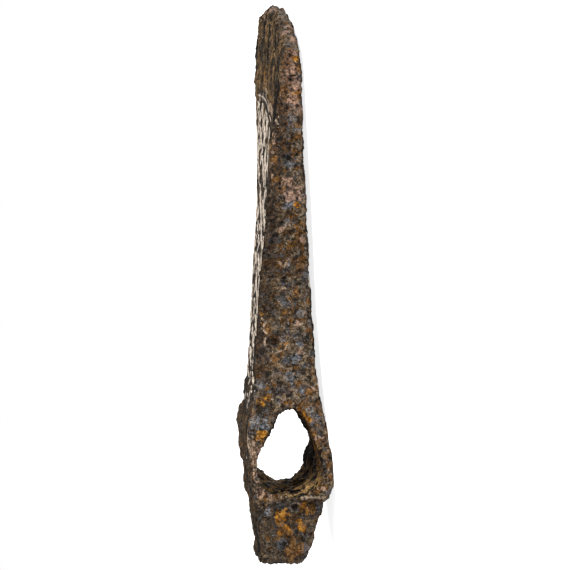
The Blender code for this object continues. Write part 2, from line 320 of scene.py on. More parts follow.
# %% Draw the panel
PANEL_START = EYE_CENTRE_X - 6 * MM
PANEL_END = 56.5 * MM  # where the panel meets its arched border, on the edge's foremost line
PANEL_MARGIN = 0.6 * MM
TOE_MARGIN = 6.0 * MM  # what the margin on the toe side adds towards the cutting edge
NECK_PANEL_END = EYE_CENTRE_X + 22 * MM
NECK_TOE, NECK_HEEL = -19 * MM, 2 * MM  # the panel's sides up to there
EDGE_FOREMOST_Y = EYE_AXIS_Y + 21 * MM  # where the cutting edge reaches furthest
EDGE_RADIUS = 112 * MM


def ramp(start, stop, value):
    """blend() for one number, without the cost of arrays."""
    share = min(max((value - start) / (stop - start), 0.0), 1.0)
    return share * share * (3 - 2 * share)


def panel_sides(place_x, outline):
    """The toe side and the heel side of the panel on this slice of the cheek."""
    toe = np.interp(place_x, outline[:, 0], outline[:, 1]) + PANEL_MARGIN
    toe = toe + TOE_MARGIN * ramp(22 * MM, 48 * MM, place_x)
    heel = np.interp(place_x, outline[:, 0], outline[:, 2]) - 2 * PANEL_MARGIN
    if place_x < NECK_PANEL_END:
        toe = max(toe, NECK_TOE)
        heel = min(heel, NECK_HEEL)
    return toe, heel


def panel_limit(place_y):
    """The arch where the panel ends towards the cutting edge."""
    bow = EDGE_RADIUS - math.sqrt(EDGE_RADIUS**2 - (place_y - EDGE_FOREMOST_Y) ** 2)
    return PANEL_END - bow


def in_panel(point, sides):
    """Whether a point lies between these two sides and short of the arch."""
    toe, heel = sides
    return toe < point.y < heel and PANEL_START < point.x < panel_limit(point.y)


toe, heel = panel_sides(0, upper_cheek)
print(f"The panel is {(PANEL_END - PANEL_START) / MM:.0f} mm long and {(heel - toe) / MM:.0f} mm wide halfway")

# %% [markdown]
# ## The plait of silver wire
#
# The smith hammered silver wire into fine furrows, three wires to a band, with the bands woven in a
# plait. Two families of slanting bands cross at even steps. At every crossing one family passes under,
# by turns, which is drawn as a break in its wires. A border wire frames the panel. The hand of the smith
# is never quite even, so slow noise bends the whole net.

# %% Weave the bands
PITCH_ALONG = 9.4 * MM
PITCH_ACROSS = 11.4 * MM
BANDS = 16  # to each side of the middle one
BAND_REACH = 90 * MM
WIRES = 3
WIRE_PITCH = 1.0 * MM
WIRE_HALF = 0.40 * MM
BORDER_HALF = 0.3 * MM
WIRE_STEP = 0.45 * MM
UNDER_GAP = 0.35 * MM  # what a band leaves free beside the one that it passes under
NET_SHIFT = Vector((3.4 * MM, -2.0 * MM))
ARCH_GAP = 2.0 * MM
HAND = 0.7 * MM  # how far the smith's hand strays
HAND_SIZE = 14 * MM  # and over what length


def strayed(point):
    """A point of the even net, moved as the smith's hand strayed."""
    spot = Vector((point.x, point.y, 0)) / HAND_SIZE
    return point + HAND * Vector((noise.noise(spot), noise.noise(spot + Vector((40, 0, 0)))))


def plait(outline):
    """Each wire as runs of points (x, y, half-width), broken where its band passes under another."""
    runs = []
    step = Vector((PITCH_ALONG, PITCH_ACROSS))
    for slant in (1, -1):
        along = Vector((step.x, slant * step.y)).normalized()
        aside = Vector((-along.y, along.x))
        for band in range(-BANDS, BANDS + 1):
            for lane in range(WIRES):
                shift = aside * (lane - (WIRES - 1) / 2) * WIRE_PITCH
                start = Vector((band * step.x, 0)) + NET_SHIFT
                runs += band_wire(start + shift, along, slant, outline)
    return runs


def band_wire(start, along, slant, outline):
    """One wire of a band, as the runs of it that show."""
    runs, run = [], []
    half_band = WIRES * WIRE_PITCH / 2
    for distance in np.arange(-BAND_REACH, BAND_REACH, WIRE_STEP):
        even = start + along * distance
        across = 2 * (even.y - NET_SHIFT.y) / PITCH_ACROSS * slant
        crossing = round(across)
        off = abs(across - crossing) * PITCH_ACROSS / 2 / abs(along.y)
        under = (crossing % 2 == 0) == (slant > 0) and off < half_band + UNDER_GAP
        point = strayed(even)
        if under or not in_panel(point, panel_sides(point.x, outline)):
            if len(run) > 3:
                runs.append(run)
            run = []
        else:
            run.append((point.x, point.y, WIRE_HALF))
    return runs


def border_runs(outline):
    """The wires that frame the panel: one along each side, and one along the arch."""
    runs = []
    for side in (0, 1):
        run = []
        for place_x in np.arange(PANEL_START, PANEL_END, WIRE_STEP):
            edge = panel_sides(place_x, outline)[side]
            if place_x < panel_limit(edge):
                run.append((place_x, edge, BORDER_HALF))
        runs.append(run)
    toe, heel = panel_sides(PANEL_END - 8 * MM, outline)
    arch = np.arange(toe, heel, WIRE_STEP)
    runs.append([(panel_limit(place_y) + ARCH_GAP, place_y, BORDER_HALF) for place_y in arch])
    return runs


upper_wires = plait(upper_cheek) + border_runs(upper_cheek)
lower_wires = plait(lower_cheek) + border_runs(lower_cheek)
print(f"New, the upper cheek had {len(upper_wires)} lengths of wire and the lower {len(lower_wires)}")

# %% [markdown]
# ## What the rust has lifted off
#
# Coarse noise takes whole patches of the silver, and fine noise nicks single wires. This comes before
# the iron's relief, because the relief is calm where silver is left.

# %% Wear the wires
WEAR_SIZE = 5.5  # millimetres
NICK_SIZE = 1.3


def worn(runs, keep, seed):
    """The runs, with the stretches left out that rust has lifted off. keep gives the share left at x."""
    left = []
    for number, run in enumerate(runs):
        piece = []
        for point_x, point_y, half in run:
            spot = Vector((point_x, point_y, 0)) / MM
            patch = noise.noise(spot / WEAR_SIZE + Vector((0, 0, seed)))
            nick = noise.noise(spot / NICK_SIZE + Vector((0, 0, seed + number * 0.37)))
            if patch + 0.55 * nick < keep(point_x):
                piece.append((point_x, point_y, half))
            else:
                if len(piece) > 3:
                    left.append(piece)
                piece = []
        if len(piece) > 3:
            left.append(piece)
    return left


def kept_above(point_x):
    """More silver is left on the blade than on the neck."""
    return 0.30 - 0.18 * ramp(-35 * MM, 25 * MM, -point_x) - 0.6 * ramp(28 * MM, 40 * MM, -point_x)


def kept_below(point_x):
    """The hidden cheek has lost most of its silver."""
    return -0.16


upper_wires = worn(upper_wires, kept_above, 3.0)
lower_wires = worn(lower_wires, kept_below, 8.0)
print(f"{len(upper_wires)} lengths are left on the upper cheek, {len(lower_wires)} on the lower")

# %% [markdown]
# ## Relief of the rust
#
# Old iron rusts in layers and in pits. Close up one sees low swellings, steps where a layer has flaked
# off, round pits, a net of fine ridges, and blisters that have burst and left a ring. The cheeks and the
# eye show the grain of the forged bar, like wood, and the blade's narrow side has cracks. Each of these
# is a height that is worked out from noise, and the function adds them up for one spot.

# %% Work out the relief at one spot
# The heights are in metres, and the sizes are in millimetres like the spot
SWELLING, SWELLING_SIZE = 0.34 * MM, 10
FLAKE_STEP, FLAKE_SIZE = 0.20 * MM, 6.5
PIT_DEPTH, PIT_SPACING = 0.50 * MM, 1.9
NET_HEIGHT, NET_SPACING = 0.34 * MM, 2.3
BLISTER_HEIGHT, BLISTER_SPACING = 0.30 * MM, 3.6
CRUMBS, CRUMB_SIZE = 0.26 * MM, 1.25
GRAIN_DEPTH, GRAIN_LENGTH, GRAIN_WIDTH = 0.42 * MM, 13, 1.5
CRACK_DEPTH, CRACK_LENGTH, CRACK_WIDTH = 0.40 * MM, 9, 1.5


def ridge(value):
    """Turns noise around 0 into a crest: 1 where the noise is 0, falling to both sides."""
    return 1 - min(abs(value) * 4, 1.0)


def relief_at(spot, is_cheek, is_wall, is_narrow_blade, calm):
    """Height in metres, and shares for pits, crests and grain, at a spot in millimetres."""
    bent = spot + 0.5 * noise.noise_vector(spot / 1.6)
    swell = noise.noise(spot / SWELLING_SIZE) + 0.5 * noise.noise(spot / 4.3 + Vector((9, 0, 0)))
    layer = noise.noise(spot / FLAKE_SIZE + Vector((31, 0, 0))) + 0.4 * noise.noise(spot / 1.9)
    flake = ramp(0.05, 0.13, layer) - 0.7 * ramp(0.0, 0.06, -layer - 0.28)
    (near, *_), _ = noise.voronoi(bent / PIT_SPACING + Vector((0, 5, 0)))
    pitted = ramp(-0.2, 0.25, noise.noise(spot / 8 + Vector((0, 0, 17))))
    pit = (1 - ramp(0.12, 0.46, near)) * pitted
    (first, second, *_), _ = noise.voronoi(bent / NET_SPACING + Vector((0, 0, 50)))
    netted = ramp(-0.25, 0.2, noise.noise(spot / 9 + Vector((60, 0, 0))))
    net = (1 - ramp(0.03, 0.22, second - first)) * netted
    (gap, *_), (centre, *_) = noise.voronoi(bent / BLISTER_SPACING)
    burst = noise.cell(centre * 7)
    size = 0.25 + 0.2 * burst
    ring = math.exp(-(((gap - size) / 0.08) ** 2)) * ramp(0.15, 0.3, burst)
    bowl = (1 - ramp(size - 0.15, size, gap)) * ramp(0.15, 0.3, burst)
    crumbs = noise.noise(spot / CRUMB_SIZE + Vector((3, 3, 3))) + 0.5 * noise.noise(spot / 0.6)
    open_skin = 1 - is_cheek
    height = SWELLING * swell + FLAKE_STEP * flake + CRUMBS * crumbs
    height += BLISTER_HEIGHT * (ring - 0.8 * bowl) * open_skin
    height += NET_HEIGHT * (net - 0.3) * (1 - 0.8 * is_cheek)
    height -= PIT_DEPTH * pit * (1 - 0.5 * is_cheek)
    grain = 0.0
    if is_cheek > 0.02:
        along = Vector((spot.x / GRAIN_LENGTH, spot.y / GRAIN_WIDTH, spot.z / GRAIN_WIDTH))
        coarse = Vector((spot.x / 30 + 7, spot.y / 3.6, spot.z / 3.6))
        grain = is_cheek * (ridge(noise.noise(along)) * 0.8 + noise.noise(coarse) * 1.5 - 0.4)
    if is_wall:
        around = Vector((spot.x / 7, spot.y / 1.1, spot.z / 7))
        grain = ridge(noise.noise(around)) + noise.noise(Vector((spot.x, spot.y / 0.5, spot.z)) / 5) - 0.5
    height += GRAIN_DEPTH * grain
    crack = 0.0
    if is_narrow_blade > 0.02:
        across = Vector((spot.x / CRACK_WIDTH, spot.y / CRACK_LENGTH, spot.z / 5))
        crack = ramp(0.80, 0.97, ridge(noise.noise(across))) * is_narrow_blade
        height -= CRACK_DEPTH * crack
    height *= 1 - 0.9 * calm
    hollowed = max(0.6 * pit, 0.8 * crack, 0.45 * bowl * open_skin, ramp(0.15, 0.75, -crumbs) * 0.7)
    raised = max(ring * open_skin, net * open_skin, ramp(0.2, 0.8, crumbs) * 0.5)
    return height, hollowed, raised, grain


sample = relief_at(middle / MM, 0.0, False, 0.0, 0.0)[0]
print(f"In the photograph's middle the rust rises by {sample / MM:.2f} mm")

# %% [markdown]
# ## Relief at every vertex
#
# The function runs once for each vertex. Where silver is left, the old surface is left too, so near the
# wires the relief is calm, and the iron between them lies a little lower. Beside the height, the loop
# keeps how far each vertex is in a hollow, on a crest or in the grain, because the colours need it later.

# %% Run over the vertices
GROUND = 0.10 * MM  # how far the iron lies below the wires' ground


def search_tree(points):
    """A tree that finds the points near a place, by their numbers."""
    tree = kdtree.KDTree(len(points))
    for number, point in enumerate(points):
        tree.insert(point, number)
    tree.balance()
    return tree


near_wire = search_tree([(point_x, point_y, 0) for run in upper_wires for point_x, point_y, _ in run])
heights, hollow, crest, grain, ground = np.zeros((5, count))
for i in range(count):
    calm = 0.0
    if normals[i][2] > 0.6 and not eye_wall[i]:
        _, _, distance = near_wire.find((places[i][0], places[i][1], 0))
        calm = 1 - ramp(0.9 * MM, 3.0 * MM, distance)
        ground[i] = calm * ramp(0.25 * MM, 0.6 * MM, distance)
    heights[i], hollow[i], crest[i], grain[i] = relief_at(
        Vector(places[i]) / MM, cheek[i], eye_wall[i] > 0, blade_narrow[i], calm
    )
heights -= GROUND * ground
print(f"Noise raises the iron by {heights.min() / MM:.2f} to {heights.max() / MM:.2f} mm")

# %% [markdown]
# ## Single pits and lumps
#
# Noise gives the right kind of surface, but not the very pits that the photograph shows. The larger ones
# are placed one by one. Each pit gets a light rim, which is painted highlight, and a darkened middle,
# partly dirt and partly painted shade.

# %% Sink the pits and raise the lumps
# For each one: x and y of its pixel, the radius and the rise in millimetres
MARKS = [
    (295, 507, 1.4, -1.1), (283, 544, 2.2, -0.5), (287, 517, 1.2, -0.4), (304, 512, 1.2, -0.4),
    (297, 532, 1.3, -0.4), (275, 342, 2.6, -0.6), (262, 352, 1.8, -0.5), (302, 372, 1.6, -0.5),
    (281, 384, 1.7, -0.5), (299, 334, 1.5, -0.4), (268, 374, 1.5, -0.4), (290, 395, 1.4, -0.4),
    (257, 390, 1.3, -0.4), (311, 385, 1.3, -0.4), (288, 325, 1.4, -0.4), (281, 225, 1.6, -0.4),
    (290, 232, 1.3, -0.4), (296, 258, 1.3, -0.4), (284, 280, 1.6, -0.4), (301, 285, 1.2, -0.4),
    (300, 120, 1.6, -0.5), (293, 137, 1.4, -0.4), (287, 108, 1.3, -0.4), (297, 155, 1.4, -0.5),
    (292, 90, 1.2, -0.5), (261, 104, 1.8, -0.4), (264, 18, 0.9, 1.6), (257, 47, 1.5, 0.4),
    (257, 122, 1.4, 0.4), (259, 32, 1.2, 0.3), (304, 158, 1.0, 0.5),
]

for pixel_x, pixel_y, radius, rise in MARKS:
    centre = seen_at(pixel_x, pixel_y)
    if centre is None:
        print(f"No iron shows at {pixel_x}, {pixel_y}")
        continue
    away = np.linalg.norm(places - centre, axis=1) / (radius * MM)
    heights += rise * MM * (1 - blend(0.25, 1.0, away))
    # A sunk pit is darkened through its hollow share (partly dirt, partly painted shade) and gets a pale ring
    # through its crest share (painted highlight).
    if rise < 0:
        hollow = np.maximum(hollow, 0.55 * (1 - blend(0.3, 0.85, away)))
        crest = np.maximum(crest, np.exp(-(((away - 0.95) / 0.14) ** 2)))
print(f"{len(MARKS)} marks, down to {heights.min() / MM:.2f} mm and up to {heights.max() / MM:.2f} mm")

# %% [markdown]
# ## The rims of the eye, and slow waves
#
# The eye is no even oval: its near rim and its far rim stand in here and there. The rust has also left
# slow waves in the thickness. Both are measured from the photograph's outline.

# %% Shape the rims and the waves
# How far each rim stands in, in millimetres, by the angle around the eye in degrees: 0 is towards the
# blade, 90 towards the upper cheek
NEAR_RIM = [
    (-24, 0.0), (-6, 0.7), (10, 0.0), (24, 1.2), (48, 1.6), (62, 0.8), (96, 0.0), (180, 0.0),
]
FAR_RIM = [
    (-168, 0.2), (-144, 0.8), (-130, 1.3), (-118, 1.0), (-108, 0.0), (-95, -0.9), (-82, -0.8), (-66, 0.0),
    (-42, 0.5), (-20, 0.3), (0, 0.0), (96, 0.0), (120, 1.2), (132, 1.9), (144, 2.3), (156, 1.3), (172, 0.5),
]
# How far each cheek stands out, by the place along the head, both in millimetres
UPPER_WAVE = [
    (-86, 1.2), (-83, 0.0), (-80, -0.9), (-70, -0.1), (-64, 0.7), (-58, -1.4), (-54, -1.0), (-47, -0.6),
    (-43, 0.6), (-36, 0.1), (-31, 0.5), (-27, 0.1), (-15, 0.6), (2, 0.75), (12, 0.5), (22, 0.2), (32, 0.0),
    (76, 0.0), (84, -0.2),
]
LOWER_WAVE = [
    (-86, -2.2), (-83.5, -1.1), (-80, 0.4), (-72, 0.6), (-60, 0.8), (-50, 0.0), (-45, 0.3), (-36, 0.3),
    (-29, 0.75), (-22, 0.5), (-10, 0.2), (0, 0.0), (10, -0.2), (17, -0.6), (27, -0.3), (45, -0.2),
    (78, -0.1), (84, -0.8),
]

angle = np.degrees(np.arctan2(from_eye_z, from_eye_x))
far_share = blend(EYE_AXIS_Y - 8 * MM, EYE_AXIS_Y + 7 * MM, y)
near_rise = np.interp(angle, *zip(*NEAR_RIM), period=360)
far_rise = np.interp(angle, *zip(*FAR_RIM), period=360)
heights += MM * (near_rise * (1 - far_share) + far_rise * far_share) * bore_side
middle_z = (arris_z + foot_z) / 2
upper_share = blend(0, 1, (z - middle_z) / (arris_z - middle_z)) * (1 - bore_side)
lower_share = blend(0, 1, (middle_z - z) / (middle_z - foot_z)) * (1 - bore_side)
waves = upper_share * np.interp(x / MM, *zip(*UPPER_WAVE))
waves = waves - lower_share * np.interp(x / MM, *zip(*LOWER_WAVE))
print(f"The waves reach from {waves.min():.1f} to {waves.max():.1f} mm")

# %% [markdown]
# ## Veins, and the move
#
# Thin light ridges run over the rust like veins. Each is a path through a few of the photograph's
# pixels, and its distance gives a vertex its height here and its colour later. Then every vertex moves
# along its normal by its height, and up or down by the waves, but not below the table.

# %% Raise the veins and move the vertices
VEIN_HEIGHT = 0.22 * MM
VEINS = [
    [(266, 92), (268, 103), (273, 113), (278, 124)],
    [(259, 98), (263, 97)],
    [(267, 338), (266, 344), (269, 350), (276, 353), (284, 349), (288, 344)],
    [(264, 318), (267, 323), (264, 328), (268, 333)],
    [(282, 287), (285, 288), (286, 294)],
    [(280, 262), (283, 269), (286, 262)],
    [(290, 508), (291, 504), (295, 502), (299, 504)],
    [(264, 483), (267, 490), (271, 499)],
    [(257, 487), (260, 494)],
    [(302, 498), (312, 497), (323, 497)],
    [(317, 436), (322, 439), (327, 441)],
    [(254, 437), (253, 448), (253, 460), (254, 472)],
    [(249, 430), (250, 445), (251, 460)],
    [(292, 324), (298, 325), (304, 323)],
    [(272, 399), (278, 397), (284, 400), (290, 398)],
]

vein_spots = []
for path in VEINS:
    for (start_x, start_y), (stop_x, stop_y) in zip(path, path[1:]):
        for share in np.arange(0, 1, 0.12):
            spot = seen_at(start_x + share * (stop_x - start_x), start_y + share * (stop_y - start_y))
            if spot is not None:
                vein_spots.append(spot)
near_vein = search_tree(vein_spots)
to_vein = np.array([near_vein.find(spot)[2] for spot in places]) / MM
heights += VEIN_HEIGHT * (1 - blend(0.2, 0.9, to_vein)) * (1 - cheek)
to_vein *= 1 - 0.75 * cheek  # the camera sees the cheek at a slant, so a ridge has to be wide there to show
places += normals * heights[:, None]
places[:, 2] += waves * MM
places[:, 2] = np.maximum(places[:, 2], low.z)
iron.data.vertices.foreach_set("co", places.ravel())
iron.data.update()
print(f"Relief from {heights.min() / MM:.2f} to {heights.max() / MM:.2f} mm")

# %% [markdown]
# ## Patches that stand out
#
# The rust has patches of its own: bright ochre on the poll and around the eye, russet and slate blue,
# pinkish tan crust on the blade's narrow side, and pale fibres like laths beside the eye. Each is a soft
# spot with a ragged rim.

# %% Mark the patches
RAGGEDNESS = 0.9  # how far a patch's radius strays, as a share of it
RAG_SIZE = 1.4  # over how many millimetres
# For each patch: x and y of the photograph's pixel where it shows, and its radius in millimetres
PATCHES = {
    "ochre": [
        (283, 514, 2.2), (277, 519, 1.5), (301, 528, 1.7), (300, 521, 1.2), (261, 437, 2.2),
        (263, 433, 1.4), (303, 414, 1.2), (304, 504, 1.6), (306, 511, 1.3), (287, 528, 1.1),
        (281, 533, 1.0), (308, 421, 1.2), (286, 345, 1.0), (298, 205, 1.3), (297, 58, 1.1), (262, 404, 0.9),
        (266, 398, 0.8),
    ],
    "russet": [
        (308, 508, 3.0), (284, 530, 2.2), (277, 536, 1.6), (293, 551, 3.4), (299, 546, 1.8),
        (267, 539, 1.5), (288, 532, 1.8), (293, 541, 1.6), (260, 402, 1.8), (268, 397, 1.6),
        (309, 392, 1.6), (306, 403, 1.8), (320, 440, 1.8), (296, 292, 1.9), (285, 312, 1.2),
        (282, 350, 1.6), (265, 323, 1.8), (267, 331, 1.6), (263, 312, 1.4), (298, 68, 1.6), (299, 95, 1.7),
        (296, 152, 1.8), (289, 245, 1.6), (281, 245, 1.4), (275, 360, 1.5), (270, 21, 1.8), (268, 388, 1.2),
        (300, 268, 1.6), (283, 265, 1.6), (297, 125, 1.4), (325, 446, 1.6), (328, 456, 1.6),
        (329, 466, 1.6), (330, 476, 1.6), (326, 486, 1.6), (316, 492, 1.6), (306, 497, 1.6),
        (318, 500, 1.6), (264, 74, 2.6), (267, 82, 2.6), (276, 86, 2.0), (284, 88, 1.6), (299, 225, 1.4),
        (281, 190, 1.6), (277, 180, 1.4), (275, 160, 1.4), (304, 470, 1.6), (299, 138, 1.8),
        (314, 433, 1.4),
    ],
    "slate": [
        (256, 422, 2.4), (263, 426, 2.2), (315, 419, 2.4), (311, 410, 1.8), (303, 390, 2.0),
        (258, 384, 1.8), (290, 377, 2.0), (283, 544, 2.2), (268, 512, 1.4), (292, 120, 2.2),
        (297, 128, 2.0), (290, 165, 1.8), (301, 313, 1.6), (283, 339, 1.4), (273, 345, 1.4),
        (297, 358, 2.0), (289, 262, 1.4), (287, 205, 2.0), (286, 222, 1.6), (303, 268, 1.2),
        (305, 548, 1.8), (280, 400, 1.6), (318, 506, 1.4), (305, 400, 1.2), (293, 205, 1.2),
        (300, 343, 1.4),
    ],
    "pink": [
        (266, 14, 2.2), (272, 10, 1.8), (263, 18, 1.6), (291, 192, 3.8), (287, 182, 2.4), (294, 40, 2.0),
        (290, 27, 1.8), (293, 72, 2.4), (296, 83, 2.2), (281, 230, 1.2), (292, 100, 2.0), (298, 324, 1.2),
        (302, 352, 1.3), (303, 240, 1.2), (258, 450, 2.2), (283, 290, 0.9), (256, 468, 2.0),
        (300, 110, 2.0), (301, 198, 1.6), (312, 388, 1.4), (286, 32, 1.6), (294, 506, 1.0),
    ],
    "laths": [
        (253, 447, 1.6), (253, 454, 1.7), (253, 461, 1.7), (252, 468, 1.6), (254, 475, 1.6),
        (256, 483, 1.6), (258, 490, 1.6), (260, 496, 1.3), (262, 478, 1.6), (266, 483, 1.5),
        (271, 488, 1.3), (264, 488, 1.1), (267, 492, 1.1), (270, 498, 1.2), (318, 438, 1.6),
        (324, 441, 1.4), (327, 450, 1.2), (329, 460, 1.1), (330, 470, 1.1), (328, 480, 1.1),
        (324, 489, 1.1), (273, 126, 1.1), (273, 134, 1.0), (273, 142, 0.9), (273, 152, 0.8),
        (273, 164, 0.8), (272, 176, 0.8), (270, 10, 2.0), (275, 12, 1.6), (265, 16, 1.6),
    ],
}


def patch_shares(patches):
    """For each vertex, how much it belongs to the nearest of these patches."""
    shares = np.zeros(count)
    for pixel_x, pixel_y, radius in patches:
        centre = seen_at(pixel_x, pixel_y)
        if centre is None:
            print(f"No iron shows at {pixel_x}, {pixel_y}")
            continue
        for spot, i, distance in near_vertex.find_range(centre, radius * 1.6 * MM):
            rag = 1 + RAGGEDNESS * noise.noise(spot / MM / RAG_SIZE)
            shares[i] = max(shares[i], 1 - ramp(0.55, 1.0, distance / (radius * MM * rag)))
    return shares


near_vertex = search_tree(places)
shares = {name: patch_shares(patches) for name, patches in PATCHES.items()}
for name, patches in PATCHES.items():
    print(f"{name}: {len(patches)} patches, {int(shares[name].sum())} vertices")

# %% [markdown]
# ## Shares for the material
#
# A material can read a number that is stored at each vertex. So all the shares found so far go onto the
# mesh under their names. Then the iron's mesh is complete and takes the solid's place.

# %% Store the shares and hand the iron over
shares |= {
    "hollow": np.clip(hollow, 0, 1),
    "crest": np.clip(crest, 0, 1),
    "grain": np.clip(0.5 + 0.5 * grain, 0, 1),
    "ground": ground,
    "cheek": cheek,
    "poll": blend(-POLL_X, -POLL_X + 4 * MM, -x),
    "blade_cheek": blade_cheek,
    "eye_wall": eye_wall,
    "eye_floor": eye_floor,
    "vein": np.clip(to_vein, 0, 2),
    "crust": blade_narrow,
    "below_inlay": below_inlay,
    "low_rim_highlight": low_rim_highlight,
}
for name, values in shares.items():
    layer = iron.data.attributes.new(name, "FLOAT", "POINT")
    layer.data.foreach_set("value", values.astype(np.float32))
iron.data.shade_smooth()
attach(iron, "root")
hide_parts("axe_head")
print("Shares stored:", ", ".join(shares))

# %% [markdown]
# ## The wires as mesh
#
# Each length of wire is a flat ribbon with sloping sides, laid on the carved iron. A ray straight down
# onto the cheek finds the ground under every point, and a running mean along the wire keeps it from
# following each pit, as a hammered wire bridges them. All lengths of a cheek are one mesh.

# %% Hammer the wires into the cheeks
WIRE_RISE = 0.045 * MM
WIRE_ROOT = 0.35 * MM
BRIDGING = 5  # points in the running mean


def ribbon_points(run, tree, upward):
    """The ground under a run of points, evened out along the wire."""
    spots = []
    for point_x, point_y, half in run:
        start = Vector((point_x, point_y, high.z / 2 + upward * 0.05))
        hit, normal, _, _ = tree.ray_cast(start, Vector((0, 0, -upward)))
        if hit is not None and normal.z * upward >= 0.3:
            spots.append((hit, half))
    evened = []
    for i, (hit, half) in enumerate(spots):
        near = spots[max(0, i - BRIDGING // 2):i + BRIDGING // 2 + 1]
        top = sum(other.z for other, _ in near) / len(near)
        evened.append((Vector((hit.x, hit.y, top)), half))
    return evened


def ribbon_row(bm, spot, ahead, half, upward):
    """The five points across a ribbon, from its root on one side over the top to the other root."""
    side = Vector((-ahead.y, ahead.x, 0)).normalized()
    ragged = half * (1 + 0.5 * noise.noise(spot / MM / 0.8))
    rise = WIRE_RISE * (1 + 0.7 * noise.noise(spot / MM / 1.1 + Vector((5, 0, 0))))
    up = Vector((0, 0, upward))
    profile = ((-1.15, -WIRE_ROOT), (-0.8, rise), (0, rise * 1.3), (0.8, rise), (1.15, -WIRE_ROOT))
    return [bm.verts.new(spot + side * ragged * share + up * lift) for share, lift in profile]


def lay_wires(name, runs, tree, upward):
    """A mesh of all these wires on the cheek that faces up or down."""
    bm = bmesh.new()
    for run in runs:
        spots = ribbon_points(run, tree, upward)
        rows = []
        for i, (spot, half) in enumerate(spots):
            ahead = spots[min(i + 1, len(spots) - 1)][0] - spots[max(i - 1, 0)][0]
            rows.append(ribbon_row(bm, spot, ahead, half, upward))
        for row, following in zip(rows, rows[1:]):
            for j in range(len(row) - 1):
                bm.faces.new((row[j], row[j + 1], following[j + 1], following[j]))
    bmesh.ops.recalc_face_normals(bm, faces=bm.faces)
    mesh = bpy.data.meshes.new(name)
    bm.to_mesh(mesh)
    bm.free()
    mesh.shade_smooth()
    piece = bpy.data.objects.new(name, mesh)
    bpy.context.scene.collection.objects.link(piece)
    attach(piece, "root")
    print(f"{name}: {len(mesh.polygons)} faces")
    return piece


bpy.context.view_layer.update()
carved_tree = BVHTree.FromObject(iron, bpy.context.evaluated_depsgraph_get())
silver_above = lay_wires("silver_wires_upper", upper_wires, carved_tree, 1)
silver_below = lay_wires("silver_wires_lower", lower_wires, carved_tree, -1)

# %% [markdown]
# ## Helpers for nodes
#
# A material in Blender is a tree of nodes. These helpers make a node in one line, in whichever tree the
# name "tree" stands for at that time. A value that they are given may be a plain number or colour, or
# the output of another node.

# %% Define the helpers
NUMBER, VECTOR, COLOUR = "NodeSocketFloat", "NodeSocketVector", "NodeSocketColor"


def wire(value, socket):
    """Connect an output to a socket, or set the socket's own value."""
    if isinstance(value, bpy.types.NodeSocket):
        tree.links.new(value, socket)
    else:
        socket.default_value = value


def add(kind, settings=(), **inputs):
    """A node in the tree in work, with its settings and the values of its inputs."""
    made = tree.nodes.new("ShaderNode" + kind)
    for setting, value in dict(settings).items():
        setattr(made, setting, value)
    for socket, value in inputs.items():
        wire(value, made.inputs[socket.replace("_", " ")])
    return made


def math_node(operation, *values, kind="Math"):
    """The result of a calculation with these values."""
    made = add(kind, {"operation": operation})
    for value, socket in zip(values, made.inputs):
        wire(value, socket)
    return made.outputs[0]


def vector_node(operation, *values):
    """The same for vectors."""
    return math_node(operation, *values, kind="VectorMath")


def times(first, second):
    """The product of two values. For masks it is where both are."""
    return math_node("MULTIPLY", first, second)


def total(first, *others, operation="ADD"):
    """The sum of several values."""
    for value in others:
        first = math_node(operation, first, value)
    return first


def largest(*values):
    """The largest of several values. For masks it is where any of them is."""
    return total(*values, operation="MAXIMUM")


def smooth_range(value, start, stop):
    """0 where the value is at start, 1 where it is at stop, and a smooth ramp between."""
    made = add("MapRange", {"interpolation_type": "SMOOTHSTEP"}, Value=value, From_Min=start, From_Max=stop)
    return made.outputs["Result"]


def mix(share, under, over, mode="MIX"):
    """One colour laid over another by a share from 0 to 1."""
    made = add("Mix", {"data_type": "RGBA", "blend_type": mode}, Factor=share)
    wire(under, made.inputs[6])
    wire(over, made.inputs[7])
    return made.outputs[2]


def new_group(name, sockets_in, sockets_out):
    """An empty node group with named sockets: {name: (kind, default)}."""
    group = bpy.data.node_groups.new(name, "ShaderNodeTree")
    for label, (kind, default) in sockets_in.items():
        socket = group.interface.new_socket(label, in_out="INPUT", socket_type=kind)
        if default is not None:
            socket.default_value = default
    for label, kind in sockets_out.items():
        group.interface.new_socket(label, in_out="OUTPUT", socket_type=kind)
    return group, group.nodes.new("NodeGroupInput").outputs, group.nodes.new("NodeGroupOutput").inputs


def place_group(group, **inputs):
    """A node that stands for a group. Its outputs come back."""
    made = add("Group", {"node_tree": group})
    for socket, value in inputs.items():
        wire(value, made.inputs[socket])
    return made.outputs


print("The helpers are ready")

# %% [markdown]
# ## Masks from noise
#
# Rust has no single colour: it is a mixture of several at every scale, and masks do the mixing. What is
# above a level in the noise belongs to the mask. "mottle" makes ragged spots of one size, and "streaks"
# makes long fine lines along the head. A size of 2 means 2 mm on the object.

# %% Make the groups for masks


def above_level(value, given):
    """A mask of where the value is above the group's level, with its softness at the rim."""
    start = math_node("SUBTRACT", given["Level"], given["Softness"])
    stop = math_node("ADD", given["Level"], given["Softness"])
    return smooth_range(value, start, stop)


LEVEL = {"Level": (NUMBER, 0.5), "Softness": (NUMBER, 0.1)}

mottle, given, result = new_group(
    "mottle",
    {"Place": (VECTOR, None), "Size": (NUMBER, 2.0), "Seed": (NUMBER, 0.0), **LEVEL},
    {"Mask": NUMBER, "Tone": NUMBER},
)
tree = mottle
cloud = add("TexNoise", {"noise_dimensions": "4D"}, Vector=given["Place"], W=given["Seed"],
            Scale=math_node("DIVIDE", 1.0, given["Size"]), Detail=6.0, Roughness=0.62, Distortion=0.35)
wire(above_level(cloud.outputs["Fac"], given), result["Mask"])
wire(cloud.outputs["Fac"], result["Tone"])

